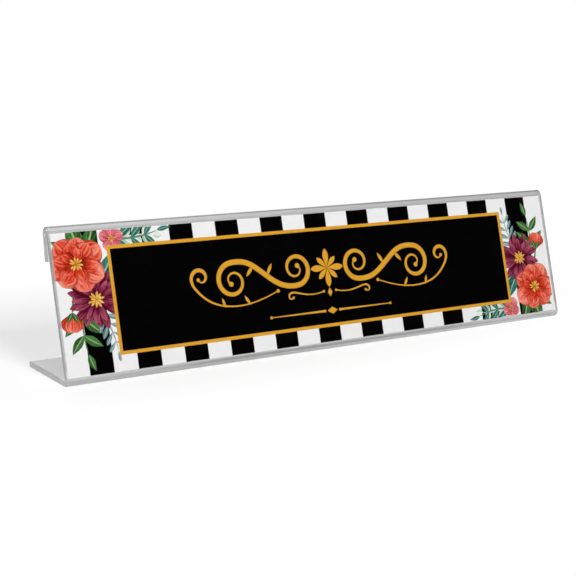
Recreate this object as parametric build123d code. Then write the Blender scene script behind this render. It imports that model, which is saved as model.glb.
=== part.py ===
from build123d import *
import os
from math import cos, radians, sin, tan

# Desk name plate: a clear acrylic holder, heat-bent from one flat strip, and the stiff printed
# card that it shows. The strip lies on the desk as a foot, turns up into a panel that leans
# back, and folds over at the top into a short lip. The card stands behind the panel with its
# top edge under the lip, and slides out through either open end.
#
# Millimetres and degrees. +X runs along the plate to the reader's right, +Y to the back, +Z up.
# The origin lies on the desk, midway along the width, and midway between the front of the
# lower bend and the rear edge of the foot.

# Holder
holder_width = 254.0
sheet_thickness = 2.4
slant_height = 63.0  # along the panel's front face, from the desk to the crown of the fold
foot_depth = 40.0  # from the front of the lower bend to the rear edge
panel_lean = 15.0  # back from upright
bend_radius = 0.6  # inside the lower bend
lip_length = 10.9  # the straight run below the fold
lip_opening = 8.0  # angle between the lip and the panel
edge_round = 0.35  # flame-polished rim of the sheet
edge_round_limit_share = 0.45  # most of the sheet's thickness that the rounding of a rim takes

# Card
card_thickness = 0.4
card_end_margin = 1.0  # from the card's end to the holder's end
card_face_clearance = 0.1  # from the panel to the printed face
card_back_clearance = 0.2  # from the card's back to the lip, where the fold starts
card_top_clearance = 0.25  # from the card's top edge to where the fold starts

# The fold is as tight as the card lets it be
fold_radius = (card_face_clearance + card_thickness + card_back_clearance) / 2
bend_outer = bend_radius + sheet_thickness
fold_outer = fold_radius + sheet_thickness
rim_round = min(edge_round, sheet_thickness * edge_round_limit_share)

# Angles that the strip turns through, from the foot to the panel and from the panel to the lip
bend_turn = 90 + panel_lean
fold_turn = 180 - lip_opening

# Where the bends start
foot_rear = foot_depth / 2
bend_start = bend_outer - foot_depth / 2
bend_setback = bend_outer * tan(radians(bend_turn / 2))
panel_flat = slant_height - bend_setback - fold_outer

card_width = holder_width - 2 * card_end_margin
card_height = panel_flat - card_top_clearance


def sheet_runs(depth):
    """The strip's runs and bends at a depth under its outer face, in the plane of Y and Z."""
    foot = Line((foot_rear, depth), (bend_start, depth))
    bend = JernArc(foot @ 1, foot % 1, bend_outer - depth, -bend_turn)
    panel = PolarLine(bend @ 1, panel_flat, direction=bend % 1)
    fold = JernArc(panel @ 1, panel % 1, fold_outer - depth, -fold_turn)
    lip = PolarLine(fold @ 1, lip_length, direction=fold % 1)
    return [foot, bend, panel, fold, lip]


def sheet_section():
    """The bent strip seen from its end, with the rear edge of the foot and the lip's end rounded."""
    outer = sheet_runs(0)
    inner = sheet_runs(sheet_thickness)
    corners = [outer[0] @ 0, inner[0] @ 0, outer[-1] @ 1, inner[-1] @ 1]
    foot_end = Line(corners[0], corners[1])
    lip_end = Line(corners[2], corners[3])
    section = make_face(outer + inner + [foot_end, lip_end])
    ends = [section.vertices().sort_by_distance(corner)[0] for corner in corners]
    return fillet(ends, rim_round)


def make_holder():
    """The section drawn out along the width, with the rims of both ends rounded."""
    body = extrude(Plane.YZ * sheet_section(), amount=holder_width / 2, both=True)
    by_place = body.faces().sort_by(Axis.X)
    return fillet(by_place[0].edges() + by_place[-1].edges(), rim_round)


def make_card():
    """A flat card behind the panel, standing on the start of the lower bend."""
    lean = radians(panel_lean)
    to_front = Vector(0, -cos(lean), sin(lean))
    panel_foot = sheet_runs(sheet_thickness)[2] @ 0
    seat = Vector(0, panel_foot.X, panel_foot.Y) - to_front * card_face_clearance
    behind_panel = Plane(origin=seat, x_dir=(1, 0, 0), z_dir=to_front)
    blank = Box(card_width, card_height, card_thickness, align=(Align.CENTER, Align.MIN, Align.MAX))
    return behind_panel * blank


os.makedirs("parts", exist_ok=True)
export_step(make_holder(), "parts/holder.step")
export_step(make_card(), "parts/insert_card.step")
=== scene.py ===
from math import cos, pi, radians, sin

import bpy
from mathutils import Matrix, Vector


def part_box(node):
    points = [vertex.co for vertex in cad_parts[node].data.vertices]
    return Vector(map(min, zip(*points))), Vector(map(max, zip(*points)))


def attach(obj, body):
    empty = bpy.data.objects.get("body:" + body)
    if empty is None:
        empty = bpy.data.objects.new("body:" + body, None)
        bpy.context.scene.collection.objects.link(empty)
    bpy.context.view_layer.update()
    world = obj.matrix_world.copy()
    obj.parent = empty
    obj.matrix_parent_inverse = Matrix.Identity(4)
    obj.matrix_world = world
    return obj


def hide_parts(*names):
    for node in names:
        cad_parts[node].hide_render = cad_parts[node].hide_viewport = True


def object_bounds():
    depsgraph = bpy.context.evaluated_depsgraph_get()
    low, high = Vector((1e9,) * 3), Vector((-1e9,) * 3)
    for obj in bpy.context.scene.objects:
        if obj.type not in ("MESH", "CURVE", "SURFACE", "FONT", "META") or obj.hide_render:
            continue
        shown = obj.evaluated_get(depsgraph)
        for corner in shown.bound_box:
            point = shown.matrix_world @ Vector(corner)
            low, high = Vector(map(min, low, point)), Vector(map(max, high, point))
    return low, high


# Desk name plate: the finish of its clear acrylic holder, and the printed card that it shows.
# Metres. +X runs along the plate to the reader's right, +Y to the back, +Z up.

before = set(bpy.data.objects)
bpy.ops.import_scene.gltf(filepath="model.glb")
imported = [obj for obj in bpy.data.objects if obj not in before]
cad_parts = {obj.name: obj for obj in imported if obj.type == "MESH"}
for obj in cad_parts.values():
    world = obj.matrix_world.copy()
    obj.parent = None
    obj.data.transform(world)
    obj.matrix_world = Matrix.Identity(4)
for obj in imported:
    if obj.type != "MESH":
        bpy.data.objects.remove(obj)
cad_low, cad_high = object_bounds()
bpy.ops.object.select_all(action="DESELECT")
scene = bpy.context.scene
scene.view_settings.view_transform = "Standard"

MM = 0.001

# The card as packed: it leans back, close behind the panel
card_lean = radians(15)
card_thickness = 0.4 * MM
card_low, card_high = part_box("insert_card")
card_width = card_high.x - card_low.x
card_height = (card_high.z - card_low.z - card_thickness * sin(card_lean)) / cos(card_lean)
card_seat = Vector((0, card_low.y, card_low.z + card_thickness * sin(card_lean)))

# From the plane that the print is drawn in, with X along the card, Y up it and Z to the reader
card_place = Matrix.Translation(card_seat) @ Matrix.Rotation(pi / 2 - card_lean, 4, "X")

# The holder: its end, the axis of its lower bend and, up the card, the crown of its fold and a
# height a little below its lip
end_x = cad_high.x
bend_outer = 3 * MM
bend_y = cad_low.y + bend_outer
bend_z = bend_outer
crown_rise = 3 * MM
crown_y = card_height + crown_rise
below_lip_drop = 13 * MM
below_lip_y = card_height - below_lip_drop

# The print: stripes that widen a little to the right, a framed black panel and two ornaments in it
stripe_count = 23
stripe_x = -4.57 * MM
stripe_width = 11.09 * MM
stripe_growth = 0.08 * MM
frame_x = -1.7 * MM
frame_width = 202.8 * MM
frame_height = 43.45 * MM
frame_band = 1.4 * MM
flourish_y = 31.5 * MM
rule_y = 13.3 * MM

# How the print lies: each layer of it above the last, and its body sunk in the card
print_layer = 0.002 * MM
print_depth = 0.1 * MM
print_margin = 0.1 * MM
stroke_rise_share = 0.04
cut_snap = 0.001 * MM

# The floor keeps the plate's shadow in an oval that is drawn out along X, and is white beyond it
floor_side = 30
shadow_x = -100 * MM
shadow_y = 72 * MM
shadow_squeeze_share = 0.42
shadow_fade_start = 50 * MM
shadow_fade_end = 145 * MM

# Strengths of the studio's light from all round, and of the glow overhead that the acrylic mirrors
room_light = 0.34
overhead_glow = 3.6

# The photograph's camera
photo_side_px = 576
photo_focal_px = 1253.45
sensor_width_mm = 36
view_azimuth = radians(-31.976)
view_elevation = radians(10.506)
camera_place = Vector((-300.67, -457.17, 124.92)) * MM


def srgb(code):
    """A hex colour as the linear red, green, blue and alpha that a shader takes."""
    parts = [int(code[at:at + 2], 16) / 255 for at in (0, 2, 4)]
    return [p / 12.92 if p <= 0.04045 else ((p + 0.055) / 1.055) ** 2.4 for p in parts] + [1]


def add_node(tree, kind, links=None, **settings):
    """A node with its settings. Each of its inputs takes a value or another node's output."""
    node = tree.nodes.new("ShaderNode" + kind)
    for name, value in settings.items():
        setattr(node, name, value)
    for socket, value in (links or {}).items():
        if isinstance(value, bpy.types.NodeSocket):
            tree.links.new(value, node.inputs[socket])
        else:
            node.inputs[socket].default_value = value
    return node


def new_material(name):
    """An empty material and its node tree."""
    material = bpy.data.materials.new(name)
    material.use_nodes = True
    material.node_tree.nodes.clear()
    return material, material.node_tree


def soft_zone(tree, edges, least=0.0, part_of=1.0):
    """A factor that is full inside a zone and fades to a least share across each of its edges. An edge
    is a value, what it is outside and what it is inside. The zone may be part of another one."""
    full = part_of
    for value, outside, inside in edges:
        fade = add_node(tree, "MapRange", {
            "Value": value, "From Min": outside, "From Max": inside, "To Min": least},
            interpolation_type="SMOOTHSTEP")
        full = add_node(tree, "Math", {0: full, 1: fade.outputs[0]}, operation="MULTIPLY").outputs[0]
    return full


def clear_acrylic():
    """Clear acrylic sheet, cut, heat-bent and flame-polished.

    Water-clear over the card. Off the card the sheet shows painted grey in place of its refraction and
    reflections: on the bends, the foot, the lip and the polished ends, with painted shade in dark lines
    along the crown of the fold, below the card's bottom edge, at the foot of the lower bend and near the
    ends."""
    material, tree = new_material("clear_acrylic_sheet")
    place = add_node(tree, "TexCoord").outputs["Object"]
    to_card = card_place.inverted()
    on_card = add_node(tree, "Mapping", {
        "Vector": place, "Location": to_card.to_translation(), "Rotation": to_card.to_euler()})
    axes = add_node(tree, "SeparateXYZ", {0: on_card.outputs[0]})
    along = add_node(tree, "Math", {0: axes.outputs["X"]}, operation="ABSOLUTE").outputs[0]
    up = axes.outputs["Y"]
    front = axes.outputs["Z"]
    height = add_node(tree, "SeparateXYZ", {0: place}).outputs["Z"]
    in_section = add_node(tree, "VectorMath", {0: place, 1: (0, 1, 1)}, operation="MULTIPLY")
    from_bend = add_node(tree, "VectorMath", {0: in_section.outputs[0], 1: (0, bend_y, bend_z)},
                         operation="DISTANCE").outputs["Value"]

    clear = soft_zone(tree, [
        (along, card_width / 2 + 0.5 * MM, card_width / 2 - 0.1 * MM),
        (up, -0.4 * MM, 0.2 * MM),
        (up, card_height + 0.3 * MM, card_height - 0.3 * MM),
        (front, -0.4 * MM, -0.1 * MM)])
    lip = soft_zone(tree, [(front, -0.4 * MM, -0.9 * MM), (up, below_lip_y - MM, below_lip_y + MM)])
    bend = soft_zone(tree, [(from_bend, bend_outer + 2 * MM, bend_outer + 0.1 * MM)])
    fold = soft_zone(tree, [(up, card_height - 0.3 * MM, card_height + 0.5 * MM)])
    mid_length = soft_zone(tree, [(along, 100 * MM, 50 * MM)], least=0.1)
    # Painted shadow: a dark grey line just below the card's bottom edge, fading out towards the ends.
    seat_painted_shadow = soft_zone(tree, [(up, -0.4 * MM, -0.8 * MM), (up, -1.9 * MM, -1.4 * MM)], part_of=mid_length)
    # Painted shade: a dark grey line along the bottom of the lower bend.
    keel_painted_shade = soft_zone(tree, [(height, 0.9 * MM, 0.4 * MM)], part_of=bend)
    cut_end = soft_zone(tree, [(along, end_x - 0.15 * MM, end_x - 0.02 * MM)])
    off_cut = soft_zone(tree, [(cut_end, 1, 0)], least=0.3)
    # Painted shade: darker grey a little in from each end, away from the bend.
    rim_painted_shade = soft_zone(tree, [(along, end_x - 0.7 * MM, end_x - 0.4 * MM), (bend, 1, 0)], part_of=off_cut)
    # Painted shade: a dark grey line along the crown of the top fold.
    crown = soft_zone(tree, [
        (up, crown_y - 1.2 * MM, crown_y - 0.6 * MM), (front, -1.2 * MM, -0.5 * MM)])

    # Painted greys in place of the sheet's refraction and reflections: each zone off the card gets its own
    # grey, lighter on the lip and bend and darker on the fold and cut ends, with painted shade in the dark
    # lines at the seat, keel, rim and crown. The window over the card stays clear.
    colour = srgb("C6C6C6")
    for zone, tone in (
            (lip, "DADADA"), (bend, "D2D2D2"), (fold, "C0C0C0"), (seat_painted_shadow, "A4A4A4"), (keel_painted_shade, "949494"),
            (cut_end, "B8B8B8"), (rim_painted_shade, "A6A6A6"), (crown, "8C8C8C"), (clear, "FFFFFF")):
        colour = add_node(tree, "Mix", {0: zone, 6: colour, 7: srgb(tone)}, data_type="RGBA").outputs[2]
    # Off the window less light passes through the sheet, and less again at the cut ends, so that more of the
    # painted grey shows.
    transmission_off_window = add_node(tree, "MapRange", {"Value": cut_end, "To Min": 0.6, "To Max": 0.35},
                      interpolation_type="SMOOTHSTEP")
    passes = soft_zone(tree, [(clear, 0, 1)], least=transmission_off_window.outputs[0])
    ripple = add_node(tree, "TexNoise", {"Vector": place, "Scale": 1 / (16.7 * MM), "Detail": 2})
    rough = add_node(tree, "MapRange", {"Value": ripple.outputs["Fac"], "To Max": 0.03})
    sheet = add_node(tree, "BsdfPrincipled", {
        "Base Color": colour, "IOR": 1.49, "Transmission Weight": passes, "Roughness": rough.outputs[0]})

    # Lamps and scattered light go straight through the sheet to the card and the floor
    through = add_node(tree, "BsdfTransparent", {"Color": srgb("FFFFFF")})
    path = add_node(tree, "LightPath")
    surface = sheet.outputs[0]
    for ray in ("Is Shadow Ray", "Is Diffuse Ray"):
        surface = add_node(tree, "MixShader", {
            0: path.outputs[ray], 1: surface, 2: through.outputs[0]}).outputs[0]
    tint = add_node(tree, "VolumeAbsorption", {"Color": srgb("BCBCBC"), "Density": 24})
    add_node(tree, "OutputMaterial", {"Surface": surface, "Volume": tint.outputs[0]})
    return material


def finish_print(tree, colour):
    """The faint tooth of printed card under a colour, with almost no gloss of its own."""
    place = add_node(tree, "TexCoord").outputs["Object"]
    tooth = add_node(tree, "TexNoise", {"Vector": place, "Scale": 1 / (0.5 * MM), "Detail": 3})
    rough = add_node(tree, "MapRange", {"Value": tooth.outputs["Fac"], "To Min": 0.5, "To Max": 0.7})
    bump = add_node(tree, "Bump", {
        "Height": tooth.outputs["Fac"], "Strength": 0.1, "Distance": 0.01 * MM})
    shader = add_node(tree, "BsdfPrincipled", {
        "Base Color": colour, "Roughness": rough.outputs[0], "Normal": bump.outputs[0],
        "Specular IOR Level": 0.005})
    add_node(tree, "OutputMaterial", {"Surface": shader.outputs[0]})


def flat_ink(name, thin, full):
    """Print in one ink on coated card, a little uneven where the ink lies thin."""
    material, tree = new_material(name)
    place = add_node(tree, "TexCoord").outputs["Object"]
    mottle = add_node(tree, "TexNoise", {"Vector": place, "Scale": 1 / (2.5 * MM), "Detail": 4})
    colour = add_node(tree, "Mix", {
        0: mottle.outputs["Fac"], 6: srgb(thin), 7: srgb(full)}, data_type="RGBA")
    finish_print(tree, colour.outputs[2])
    return material


def petal_axes(tree):
    """Where a point lies on its petal or leaf: along it, across it from -1 to 1, and off its middle."""
    source = add_node(tree, "TexCoord")
    flat = add_node(tree, "SeparateXYZ", {0: source.outputs["UV"]})
    across = add_node(tree, "Math", {0: flat.outputs["Y"], 1: 2, 2: -1}, operation="MULTIPLY_ADD")
    off_middle = add_node(tree, "Math", {0: across.outputs[0]}, operation="ABSOLUTE")
    return flat.outputs["X"], across.outputs[0], off_middle.outputs[0]


def sum_washes(tree, base, washes, thin, full):
    """Washes of pigment laid over each other, each with its weight, as a share from thin to full."""
    for wash, weight in washes:
        base = add_node(tree, "Math", {0: wash, 1: weight, 2: base}, operation="MULTIPLY_ADD").outputs[0]
    return add_node(tree, "MapRange", {"Value": base, "From Min": thin, "From Max": full}).outputs[0]


def petal_ink(name, deep, middle, pale, edge):
    """Watercolour petals in print: pigment lies deep at a petal's foot, thins out towards its tip
    in streaks and pools, and has dried darker along its outline."""
    material, tree = new_material(name)
    source = add_node(tree, "TexCoord")
    along, _, off_middle = petal_axes(tree)
    tone = add_node(tree, "Attribute", attribute_name="tone").outputs["Fac"]
    apart = add_node(tree, "CombineXYZ", {"Z": tone})
    grain = add_node(tree, "VectorMath", {0: source.outputs["UV"], 1: apart.outputs[0]}, operation="ADD")
    grain = add_node(tree, "VectorMath", {0: grain.outputs[0], 1: (2, 11, 40)}, operation="MULTIPLY")
    streak = add_node(tree, "TexNoise", {"Vector": grain.outputs[0], "Scale": 1, "Detail": 3})
    pool = add_node(tree, "TexNoise", {
        "Vector": source.outputs["Object"], "Scale": 1 / (3 * MM), "Detail": 2})
    wash = sum_washes(tree, along, (
        (streak.outputs["Fac"], 1.8), (pool.outputs["Fac"], 0.6), (tone, 0.5)), 1.25, 2.8)
    ramp = add_node(tree, "ValToRGB", {0: wash})
    stops = ramp.color_ramp.elements
    stops[0].position, stops[0].color = 0.05, srgb(deep)
    stops[1].position, stops[1].color = 0.95, srgb(pale)
    stops.new(0.45).color = srgb(middle)
    outline = soft_zone(tree, [(off_middle, 0.72, 1)], part_of=0.7)
    colour = add_node(tree, "Mix", {0: outline, 6: ramp.outputs[0], 7: srgb(edge)}, data_type="RGBA")
    finish_print(tree, colour.outputs[2])
    return material


def leaf_ink(name, dark, light, rib):
    """Watercolour leaves in print: one half lighter than the other, with a pale midrib and faint
    veins."""
    material, tree = new_material(name)
    source = add_node(tree, "TexCoord")
    along, across, off_middle = petal_axes(tree)
    tone = add_node(tree, "Attribute", attribute_name="tone").outputs["Fac"]
    light_half = soft_zone(tree, [(across, -0.15, 0.25)])
    pool = add_node(tree, "TexNoise", {
        "Vector": source.outputs["Object"], "Scale": 1 / (2.5 * MM), "Detail": 3})
    wash = sum_washes(tree, tone, ((light_half, 0.5), (pool.outputs["Fac"], 0.9)), 0.45, 1.7)
    body = add_node(tree, "Mix", {0: wash, 6: srgb(dark), 7: srgb(light)}, data_type="RGBA")
    vein_count = 7
    slant = add_node(tree, "Math", {0: off_middle, 1: -0.22, 2: along}, operation="MULTIPLY_ADD")
    wave = add_node(tree, "Math", {0: slant.outputs[0], 1: 2 * pi * vein_count}, operation="MULTIPLY")
    wave = add_node(tree, "Math", {0: wave.outputs[0]}, operation="SINE")
    veins = add_node(tree, "MapRange", {"Value": wave.outputs[0], "From Min": 0.75, "To Max": 0.25})
    midrib = add_node(tree, "MapRange", {
        "Value": off_middle, "From Min": 0.18, "From Max": 0.06, "To Max": 0.85})
    lines = add_node(tree, "Math", {0: veins.outputs[0], 1: midrib.outputs[0]}, operation="MAXIMUM")
    colour = add_node(tree, "Mix", {
        0: lines.outputs[0], 6: body.outputs[2], 7: srgb(rib)}, data_type="RGBA")
    finish_print(tree, colour.outputs[2])
    return material


white_card = flat_ink("coated_card_stock", "E6E6E6", "EBEBEB")
black_ink = flat_ink("black_ink_on_card", "020202", "050505")
gold_ink = flat_ink("gold_ink_on_card", "D3962D", "DAA131")
coral_ink = petal_ink("coral_watercolour", "520808", "D03A20", "F49A84", "7A120C")
burgundy_ink = petal_ink("burgundy_watercolour", "100106", "5E0A26", "C0607A", "180206")
pink_ink = petal_ink("pink_watercolour", "8E1C34", "CE5E6C", "F0B2AC", "9C3046")
stamen_ink = petal_ink("ochre_watercolour", "6A3A10", "D89A2C", "F6DC94", "8A5418")
green_ink = leaf_ink("leaf_green_watercolour", "08260A", "3F7438", "9CBE84")
teal_ink = leaf_ink("teal_watercolour", "0A3632", "347668", "90BEAC")
sage_ink = leaf_ink("sage_watercolour", "86AA96", "D3E3D0", "EEF4EA")
mist_ink = leaf_ink("grey_teal_watercolour", "35565A", "86A5A5", "BBD0CC")


def select_only(*pieces):
    """Selects some pieces and nothing else, and makes the first one active."""
    bpy.ops.object.select_all(action="DESELECT")
    for piece in pieces:
        piece.select_set(True)
    bpy.context.view_layer.objects.active = pieces[0]


def edit_where(piece, kind, chosen):
    """Opens a piece in edit mode with those of its vertices or faces selected that pass a test."""
    select_only(piece)
    scene.tool_settings.mesh_select_mode = (kind == "VERT", False, kind == "FACE")
    mesh = piece.data
    for elements in (mesh.vertices, mesh.edges, mesh.polygons):
        elements.foreach_set("select", [False] * len(elements))
    for element in mesh.vertices if kind == "VERT" else mesh.polygons:
        element.select = chosen(element)
    bpy.ops.object.mode_set(mode="EDIT")


def lay_on_card(piece, name):
    """Sets a piece that was drawn in the plane of the print on the card's face, riding with it."""
    piece.name = name
    piece.matrix_world = card_place
    select_only(piece)
    bpy.ops.object.transform_apply()
    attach(piece, "card")


def make_card():
    """The stiff card, with its front cut along every printed edge."""
    bpy.ops.mesh.primitive_cube_add(size=1)
    card = bpy.context.object
    card.scale = (card_width, card_height, card_thickness)
    card.location = (0, card_height / 2, -card_thickness / 2)
    bpy.ops.object.transform_apply()
    for material in (white_card, black_ink, gold_ink):
        card.data.materials.append(material)
    steps = [n + 1 - stripe_count / 2 for n in range(stripe_count - 1)]
    stripe_edges = [stripe_x + n * stripe_width + n * n * stripe_growth / 2 for n in steps]
    cuts = [((x, 0, 0), (1, 0, 0)) for x in stripe_edges]
    for inset in (0, frame_band):
        for side in (-1, 1):
            x = frame_x + side * (frame_width / 2 - inset)
            y = card_height / 2 + side * (frame_height / 2 - inset)
            cuts += [((x, 0, 0), (1, 0, 0)), ((0, y, 0), (0, 1, 0))]
    for point, normal in cuts:
        edit_where(card, "FACE", lambda face: face.normal.z > 0.9)
        bpy.ops.mesh.bisect(plane_co=point, plane_no=normal, threshold=cut_snap)
        bpy.ops.object.mode_set(mode="OBJECT")
    for face in card.data.polygons:
        if face.normal.z < 0.9:
            continue
        x = abs(face.center.x - frame_x)
        y = abs(face.center.y - card_height / 2)
        in_frame = x < frame_width / 2 and y < frame_height / 2
        in_panel = x < frame_width / 2 - frame_band and y < frame_height / 2 - frame_band
        on_black = sum(edge < face.center.x for edge in stripe_edges) % 2
        face.material_index = 1 if in_panel else 2 if in_frame else on_black
    lay_on_card(card, "printed_card")
    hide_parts("insert_card")


blades = []


def make_blade(half_width, belly, blunt, bend=0, rows=14, columns=4):
    """A flat petal, leaf or stem of length 1, from its foot at the origin along +X.

    The rows of a grid are drawn in to its outline. It is widest further out the more belly it has,
    its ends are rounder the smaller blunt is, and it is bent to its left by an angle."""
    bpy.ops.mesh.primitive_grid_add(
        x_subdivisions=rows, y_subdivisions=columns, size=1, location=(0.5, 0, 0))
    blade = bpy.context.object
    bpy.ops.object.transform_apply()
    for row in range(rows + 1):
        even = row / rows
        share = (1 - cos(pi * even)) / 2
        width = 2 * half_width * abs(sin(pi * share ** belly)) ** blunt
        edit_where(blade, "VERT", lambda vertex: vertex.index % (rows + 1) == row)
        bpy.ops.transform.resize(value=(1, width, 1), center_override=(even, 0, 0))
        bpy.ops.transform.translate(value=(share - even, 0, 0))
        bpy.ops.object.mode_set(mode="OBJECT")
    edit_where(blade, "VERT", lambda vertex: True)
    bpy.ops.mesh.remove_doubles(threshold=0.0001)
    bpy.ops.object.mode_set(mode="OBJECT")
    if bend:
        bow = blade.modifiers.new("bow", "SIMPLE_DEFORM")
        bow.deform_method = "BEND"
        bow.deform_axis = "Z"
        bow.angle = bend
        bpy.ops.object.modifier_apply(modifier=bow.name)
    blades.append(blade)
    return blade


def stamp(blade, ink, at, turn, length, level, tone=0.5, squeeze=1.0, facing=0.0):
    """A copy of a blade in the plane of the print, in millimetres, in an ink, at a level and a tone.
    squeeze narrows the flower that it belongs to, square to the way that the flower faces."""
    copy = blade.copy()
    copy.data = blade.data.copy()
    scene.collection.objects.link(copy)
    copy.data.materials.append(ink)
    tones = copy.data.attributes.new("tone", "FLOAT", "FACE")
    tones.data.foreach_set("value", [tone] * len(copy.data.polygons))
    copy.matrix_world = (
        Matrix.Translation((at[0] * MM, at[1] * MM, level * print_layer))
        @ Matrix.Rotation(facing, 4, "Z") @ Matrix.Diagonal((1, squeeze, 1, 1))
        @ Matrix.Rotation(turn - facing, 4, "Z") @ Matrix.Scale(length * MM, 4))
    return copy


def petal_ring(blade, ink, at, count, length, turn, level, tone, squeeze=1.0, facing=0.0):
    """Petals round a middle, a little uneven, each over or under its neighbours."""
    ring = []
    for n in range(count):
        lift = 2 if count % 2 and n == count - 1 else n % 2
        ring.append(stamp(
            blade, ink, at, turn + 2 * pi * n / count + 0.1 * sin(2.7 * n + turn),
            length * (1 + 0.07 * sin(4.1 * n + 2 * turn)), level + lift,
            tone + 0.16 * sin(2.3 * n + turn), squeeze, facing))
    return ring


def sprig(stem, leaf, ink, at, turn, length, bend, pairs, leaf_length, level):
    """A bowed stem with leaves in pairs, smaller towards its tip."""
    leaf_angle = radians(48)
    leaves = [stamp(stem, ink, at, turn, length, level, 0.7)]
    for n in range(pairs + 1):
        share = (n + 1) / (pairs + 1)
        swing = share * bend
        reach = Vector((sin(swing), 1 - cos(swing))) * length / bend
        reach.rotate(Matrix.Rotation(turn, 2))
        size = leaf_length * (1.15 - 0.5 * share)
        for side in (0,) if n == pairs else (-1, 1):
            heading = turn + swing + side * leaf_angle
            leaves.append(stamp(leaf, ink, (at[0] + reach.x, at[1] + reach.y), heading, size,
                                level + 0.15 * (len(leaves) + 2), 0.35 + 0.3 * share + 0.15 * side))
    return leaves


def leaf_fan(at, ink, length, first_turn, step, count, level):
    """Single leaves that look out from behind a flower."""
    return [stamp(leaf, ink, at, first_turn + step * n, length * (1 + 0.12 * sin(2.2 * n)), level + n,
                  0.3 + 0.15 * (n % 3)) for n in range(count)]


def camellia(at, size, turn, level, squeeze=0.92, facing=0.0):
    """A full coral blossom of broad petals round a tuft of stamens."""
    shape = (squeeze, facing)
    return (petal_ring(broad_petal, coral_ink, at, 7, size, turn, level, 0.7, *shape)
            + petal_ring(broad_petal, coral_ink, at, 6, size * 0.78, turn + 0.35, level + 3, 0.4, *shape)
            + petal_ring(broad_petal, coral_ink, at, 5, size * 0.54, turn + 0.8, level + 5, 0.1, *shape)
            + petal_ring(narrow_petal, stamen_ink, at, 10, size * 0.24, turn, level + 8, 0.6, *shape))


def aster(at, size, turn, level, squeeze=0.92, facing=0.0):
    """A burgundy daisy of narrow petals round a golden eye."""
    shape = (squeeze, facing)
    return (petal_ring(narrow_petal, burgundy_ink, at, 14, size, turn, level, 0.4, *shape)
            + petal_ring(narrow_petal, burgundy_ink, at, 12, size * 0.8, turn + 0.2, level + 2, 0.75, *shape)
            + petal_ring(narrow_petal, stamen_ink, at, 10, size * 0.28, turn, level + 4, 0.4, *shape)
            + petal_ring(narrow_petal, stamen_ink, at, 8, size * 0.18, turn + 0.3, level + 6, 0.8, *shape))


def little_blossom(at, size, turn, level):
    """A small pink blossom of five round petals."""
    return (petal_ring(round_petal, pink_ink, at, 5, size, turn, level, 0.5)
            + petal_ring(narrow_petal, stamen_ink, at, 8, size * 0.3, turn, level + 3, 0.5))


def bud(at, turn, size, level):
    """A closed coral bud in its green cup."""
    petals = [stamp(broad_petal, coral_ink, at, turn + side * 0.28, size, level + n, tone)
              for n, (side, tone) in enumerate(((-1, 0.1), (1, 0.5), (0, 0.75)))]
    cup = [stamp(leaf, green_ink, at, turn + side * 0.5, size * 0.62, level + 3 + n, 0.4)
           for n, side in enumerate((-1, 1))]
    return petals + cup + [stamp(stalk, green_ink, at, turn + pi, size, level - 0.5, 0.3)]


def join_stamps(stamps):
    """Makes one piece of what was stamped."""
    select_only(*stamps)
    bpy.ops.object.transform_apply()
    bpy.ops.object.join()
    return bpy.context.object


def give_depth(piece):
    """Thickens a flat print downwards, so that it is closed and sits in the card."""
    select_only(piece)
    body = piece.modifiers.new("body", "SOLIDIFY")
    body.thickness = print_depth
    body.offset = -1
    bpy.ops.object.modifier_apply(modifier=body.name)


def print_spray(name, stamps):
    """Joins what was stamped, trims it to the card and round the frame, and lays it on the card."""
    spray = join_stamps(stamps)
    right = card_width / 2 - print_margin
    top = card_height - print_margin
    frame_right = frame_width / 2
    frame_top = frame_height / 2
    trims = [((right, 0, 0), (1, 0, 0)), ((-right, 0, 0), (-1, 0, 0)),
             ((0, top, 0), (0, 1, 0)), ((0, print_margin, 0), (0, -1, 0))]
    splits = [((frame_x + side * frame_right, 0, 0), (1, 0, 0)) for side in (-1, 1)]
    splits += [((0, card_height / 2 + side * frame_top, 0), (0, 1, 0)) for side in (-1, 1)]
    for cut in trims + splits:
        edit_where(spray, "FACE", lambda face: True)
        bpy.ops.mesh.bisect(plane_co=cut[0], plane_no=cut[1], threshold=cut_snap, clear_outer=cut in trims)
        bpy.ops.object.mode_set(mode="OBJECT")
    edit_where(spray, "FACE", lambda face: abs(face.center.x - frame_x) < frame_right
               and abs(face.center.y - card_height / 2) < frame_top)
    bpy.ops.mesh.delete(type="FACE")
    bpy.ops.object.mode_set(mode="OBJECT")
    give_depth(spray)
    lay_on_card(spray, name)


def pen_stroke(points, widths):
    """A line drawn with a broad pen: smooth along points and as wide as widths, in millimetres from
    the middle of the ornament, and pressed flat."""
    bpy.ops.curve.primitive_nurbs_path_add()
    stroke = bpy.context.object
    line = stroke.data.splines[0]
    line.points.add(len(points) - len(line.points))
    for point, (x, y), width in zip(line.points, points, widths):
        point.co = (x * MM, y * MM, 0, 1)
        point.radius = width / 2
    line.order_u = 4
    line.use_endpoint_u = True
    stroke.data.bevel_depth = MM
    stroke.data.bevel_resolution = 2
    stroke.data.resolution_u = 4
    stroke.data.use_fill_caps = True
    bpy.ops.object.convert(target="MESH")
    stroke = bpy.context.object
    stroke.scale = (1, 1, stroke_rise_share)
    bpy.ops.object.transform_apply()
    stroke.data.materials.clear()
    stroke.data.materials.append(gold_ink)
    return stroke


def spiral(middle, start_radius, end_radius, start_turn, end_turn, count):
    """Points along a spiral about a middle, in millimetres and degrees."""
    points = []
    for n in range(count):
        share = n / (count - 1)
        radius = start_radius + (end_radius - start_radius) * share
        angle = radians(start_turn + (end_turn - start_turn) * share)
        points.append((middle[0] + radius * cos(angle), middle[1] + radius * sin(angle)))
    return points


def swell(thin, thick, points):
    """Widths of a pen stroke along its points: thin at its ends and thick in the middle."""
    last = len(points) - 1
    return [thin + (thick - thin) * sin(pi * n / last) ** 2 for n in range(last + 1)]


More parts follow.
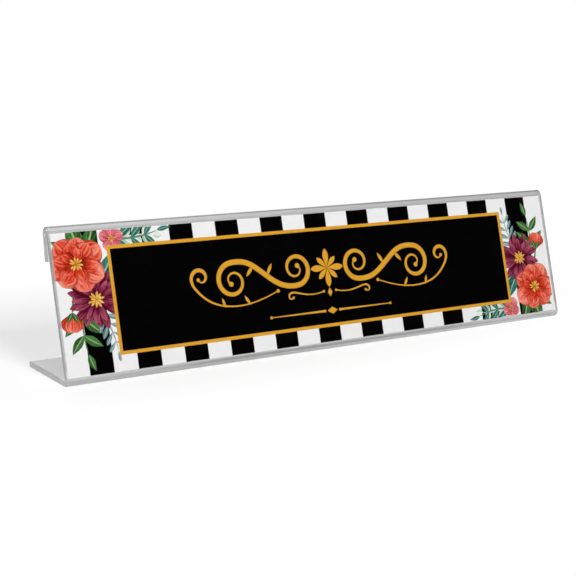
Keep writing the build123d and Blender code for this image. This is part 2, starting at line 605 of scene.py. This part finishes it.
def make_ornament(name, middle_y, strokes, touches, on_axis):
    """Lays gold on the card: pen strokes with a ball at each end, and touches of the brush. Each is also
    mirrored to the left, apart from what lies on the axis. A stroke is its points, its widths and the
    size of its balls. A touch is its shape, its place, its turn in degrees and its length."""
    drawn = []
    for side in (1, -1):
        marks = []
        for shape, (x, y), turn, length in touches:
            marks.append((shape, (side * x, y), 90 - side * (90 - turn), length))
        for points, widths, ball in strokes:
            points = [(side * x, y) for x, y in points]
            drawn.append(pen_stroke(points, widths))
            marks += [(dot, (x - ball / 2, y), 0, ball) for x, y in (points[0], points[-1])]
        if side == 1:
            marks += on_axis
        for level, (shape, at, turn, length) in enumerate(marks, 1):
            drawn.append(stamp(shape, gold_ink, at, radians(turn), length, level))
            give_depth(drawn[-1])
    ornament = join_stamps(drawn)
    ornament.location = (frame_x, middle_y, 0)
    bpy.ops.object.transform_apply()
    lay_on_card(ornament, name)


def make_flourish():
    """A gold ornament: a rosette between two running scrolls."""
    scroll = spiral((16, 1.5), 1.6, 7.5, -590, -90, 20)
    scroll += [(24, -5.6), (32, 0.8), (39, 6.8)]
    scroll += spiral((47, -1), 8, 1.6, 90, -410, 20)
    vine = [(26, -7.2), (36, -11), (48, -12.4), (59, -9.4), (65, -3)]
    vine += spiral((62, 1.5), 4.6, 1.2, -20, 330, 12)
    tendril = [(3.2, -9.6), (8, -10.8), (14, -9.8), (18, -8.6)]
    tendril += spiral((19.6, -10.4), 1.8, 0.9, 90, -150, 6)
    strokes = (
        (scroll, swell(0.7, 2.4, scroll), 2.2),
        (vine, swell(0.5, 1.7, vine), 1.6),
        (tendril, swell(0.5, 0.9, tendril), 1.2))
    touches = [
        (gold_leaf, (30.5, -0.4), 120, 6),
        (gold_leaf, (36.5, 4.8), -50, 6),
        (gold_leaf, (40, -11.8), 60, 5),
        (gold_leaf, (52, -11.8), 75, 4.5)]
    rosette = [(gold_petal, (0, 0.5), 45 * n, 6.6 if n % 2 else 8.4) for n in range(8)]
    make_ornament("gold_flourish", flourish_y, strokes, touches, rosette + [(diamond, (0, -8.2), -90, 4)])


def make_rule():
    """A thin gold rule below the flourish, with a diamond in its middle and a dot at each end."""
    rule = [(4 + 4.5 * n, 0) for n in range(7)]
    strokes = ((rule, [1.0 - 0.1 * n for n in range(7)], 1.3),)
    make_ornament("gold_rule", rule_y, strokes, [], [(diamond, (-2.6, 0), 0, 5.2)])


broad_petal = make_blade(half_width=0.42, belly=1.7, blunt=0.7)
narrow_petal = make_blade(half_width=0.15, belly=1.5, blunt=0.75)
round_petal = make_blade(half_width=0.46, belly=1.35, blunt=0.6)
leaf = make_blade(half_width=0.2, belly=0.85, blunt=1.05, bend=radians(14))
long_leaf = make_blade(half_width=0.15, belly=0.8, blunt=1.1, bend=radians(-18))
round_leaf = make_blade(half_width=0.36, belly=1.0, blunt=0.75)
stalk = make_blade(half_width=0.05, belly=0.6, blunt=0.4)
gold_leaf = make_blade(half_width=0.13, belly=1.1, blunt=1.0)
gold_petal = make_blade(half_width=0.17, belly=1.5, blunt=0.8)
dot = make_blade(half_width=0.5, belly=1.0, blunt=0.5)
diamond = make_blade(half_width=0.3, belly=1.0, blunt=1.0, rows=2, columns=2)
stem_bend = radians(30)
stem_left = make_blade(half_width=0.016, belly=0.6, blunt=0.4, bend=stem_bend)
stem_right = make_blade(half_width=0.016, belly=0.6, blunt=0.4, bend=-stem_bend)

make_card()
make_flourish()
make_rule()

print_spray("left_spray_leaves", (
    sprig(stem_left, leaf, green_ink, (-115, 30), radians(-108), 22, stem_bend, 2, 11, 1)
    + sprig(stem_right, narrow_petal, mist_ink, (-110, 26), radians(-55), 19, -stem_bend, 4, 7, 3)
    + sprig(stem_right, round_leaf, sage_ink, (-104, 50), radians(22), 22, -stem_bend, 4, 6, 1)
    + sprig(stem_left, long_leaf, teal_ink, (-104, 53), radians(-12), 24, stem_bend, 3, 10, 3)
    + leaf_fan((-114, 44), green_ink, 17, radians(60), radians(38), 3, 5)
    + leaf_fan((-108, 36), teal_ink, 13, radians(20), radians(30), 2, 5)))
print_spray("left_spray_flowers", (
    aster((-110, 29), 12.5, 0.2, 9)
    + camellia((-116.5, 43.5), 12.2, 0.5, 17)
    + little_blossom((-100.5, 52.4), 5.2, 0.3, 9)
    + bud((-120.5, 25), radians(-100), 8, 9)))

print_spray("right_spray_leaves", (
    sprig(stem_left, leaf, green_ink, (115, 25), radians(72), 22, stem_bend, 2, 11, 1)
    + sprig(stem_right, narrow_petal, mist_ink, (108, 30), radians(125), 19, -stem_bend, 4, 7, 3)
    + sprig(stem_right, round_leaf, sage_ink, (103, 6), radians(202), 22, -stem_bend, 4, 6, 1)
    + sprig(stem_left, long_leaf, teal_ink, (103, 3), radians(168), 24, stem_bend, 3, 10, 3)
    + leaf_fan((113, 12), green_ink, 17, radians(240), radians(38), 3, 5)
    + leaf_fan((106, 20), teal_ink, 13, radians(200), radians(30), 2, 5)))
print_spray("right_spray_flowers", (
    aster((108.5, 27), 12.5, 0.3, 9)
    + camellia((115.5, 12.5), 12.2, 0.9, 17)
    + little_blossom((99, 3.6), 5.2, 0.9, 9)
    + bud((119.5, 30.5), radians(75), 8, 9)))

for blade in blades:
    bpy.data.objects.remove(blade)

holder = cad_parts["holder"]
holder.data.materials.clear()
holder.data.materials.append(clear_acrylic())


def make_floor():
    """A pale floor that keeps the soft shadow near the plate and fades to white. In what the acrylic
    mirrors, it is dark in front, like the room there."""
    bpy.ops.mesh.primitive_plane_add(size=floor_side)
    floor = bpy.context.object
    floor.name = "floor"
    material, tree = new_material("matt_white_floor")
    place = add_node(tree, "TexCoord").outputs["Object"]
    oval = add_node(tree, "Mapping", {
        "Vector": place, "Location": (-shadow_x * shadow_squeeze_share, -shadow_y, 0),
        "Scale": (shadow_squeeze_share, 1, 1)})
    far = add_node(tree, "VectorMath", {0: oval.outputs[0]}, operation="LENGTH").outputs["Value"]
    path = add_node(tree, "LightPath")
    seen = path.outputs["Is Camera Ray"]
    for ray in ("Is Glossy Ray", "Is Transmission Ray"):
        seen = add_node(tree, "Math", {0: seen, 1: path.outputs[ray]}, operation="MAXIMUM").outputs[0]
    white_share = soft_zone(tree, [(far, shadow_fade_start, shadow_fade_end)], least=0.08, part_of=seen)
    ahead = add_node(tree, "SeparateXYZ", {0: place}).outputs["Y"]
    dark_room = soft_zone(tree, [(ahead, -0.1, -0.4)], part_of=path.outputs["Is Glossy Ray"])
    light = soft_zone(tree, [(dark_room, 1, 0)], least=0.2)
    matt = add_node(tree, "BsdfDiffuse", {"Color": srgb("FAFAFA")})
    white = add_node(tree, "Emission", {"Color": srgb("FFFFFF"), "Strength": light})
    mixed = add_node(tree, "MixShader", {0: white_share, 1: matt.outputs[0], 2: white.outputs[0]})
    add_node(tree, "OutputMaterial", {"Surface": mixed.outputs[0]})
    material.cycles.emission_sampling = "NONE"
    floor.data.materials.append(material)


def make_world():
    """A studio that is white to the camera and gives soft light from all round. What the acrylic
    mirrors and lets through is a white sweep behind the plate, which ends at the right, the overhead
    softbox's glow towards the left, and a dark room in front."""
    world = bpy.data.worlds.new("studio")
    scene.world = world
    world.use_nodes = True
    tree = world.node_tree
    tree.nodes.clear()
    way = add_node(tree, "TexCoord").outputs["Generated"]
    axes = add_node(tree, "SeparateXYZ", {0: way})
    right = axes.outputs["X"]
    back = axes.outputs["Y"]
    up = axes.outputs["Z"]
    sweep = soft_zone(tree, [(right, 0.74, 0.48)], least=0.1)
    sweep = soft_zone(tree, [(back, -0.3, 0.5)], part_of=sweep)
    glow = soft_zone(tree, [(up, 0.55, 0.8), (back, 0.5, 0.15), (right, 0.7, 0.35)], part_of=overhead_glow)
    level = add_node(tree, "Math", {0: sweep, 1: glow}, operation="MAXIMUM")
    room = add_node(tree, "Background", {"Color": srgb("FFFFFF"), "Strength": level.outputs[0]})
    soft = add_node(tree, "Background", {"Color": srgb("FFFFFF"), "Strength": room_light})
    white = add_node(tree, "Background", {"Color": srgb("FFFFFF"), "Strength": 1.0})
    path = add_node(tree, "LightPath")
    shown = soft.outputs[0]
    for ray, look in (("Is Glossy Ray", room), ("Is Transmission Ray", room), ("Is Camera Ray", white)):
        shown = add_node(tree, "MixShader", {
            0: path.outputs[ray], 1: shown, 2: look.outputs[0]}).outputs[0]
    add_node(tree, "OutputWorld", {"Surface": shown})


def add_softbox(name, place, aim, side, watts):
    """A square area lamp that looks at a point. The acrylic mirrors the room and not the lamp."""
    bpy.ops.object.light_add(type="AREA", location=place)
    lamp = bpy.context.object
    lamp.name = name
    lamp.data.shape = "SQUARE"
    lamp.data.size = side
    lamp.data.energy = watts
    lamp.rotation_euler = (Vector(aim) - Vector(place)).to_track_quat("-Z", "Y").to_euler()
    lamp.visible_camera = False
    lamp.visible_glossy = False
    lamp.visible_transmission = False


def add_camera():
    """The photograph's view."""
    bpy.ops.object.camera_add(location=camera_place)
    camera = bpy.context.object
    camera.rotation_euler = (pi / 2 - view_elevation, 0, view_azimuth)
    camera.data.sensor_width = sensor_width_mm
    camera.data.lens = sensor_width_mm * photo_focal_px / photo_side_px
    camera.data.clip_start = 0.01
    camera.data.clip_end = 100
    scene.camera = camera


make_floor()
make_world()
add_softbox("key_softbox", place=(-0.1, -1.22, 0.66), aim=(0, 0, 0.03), side=0.34, watts=9.5)
add_softbox("overhead_softbox", place=(-0.4, -0.3, 1.15), aim=(0, 0, 0), side=0.8, watts=6.2)
add_softbox("back_softbox", place=(0.15, 1.0, 0.4), aim=(0, 0, 0.03), side=0.6, watts=3.2)
add_camera()
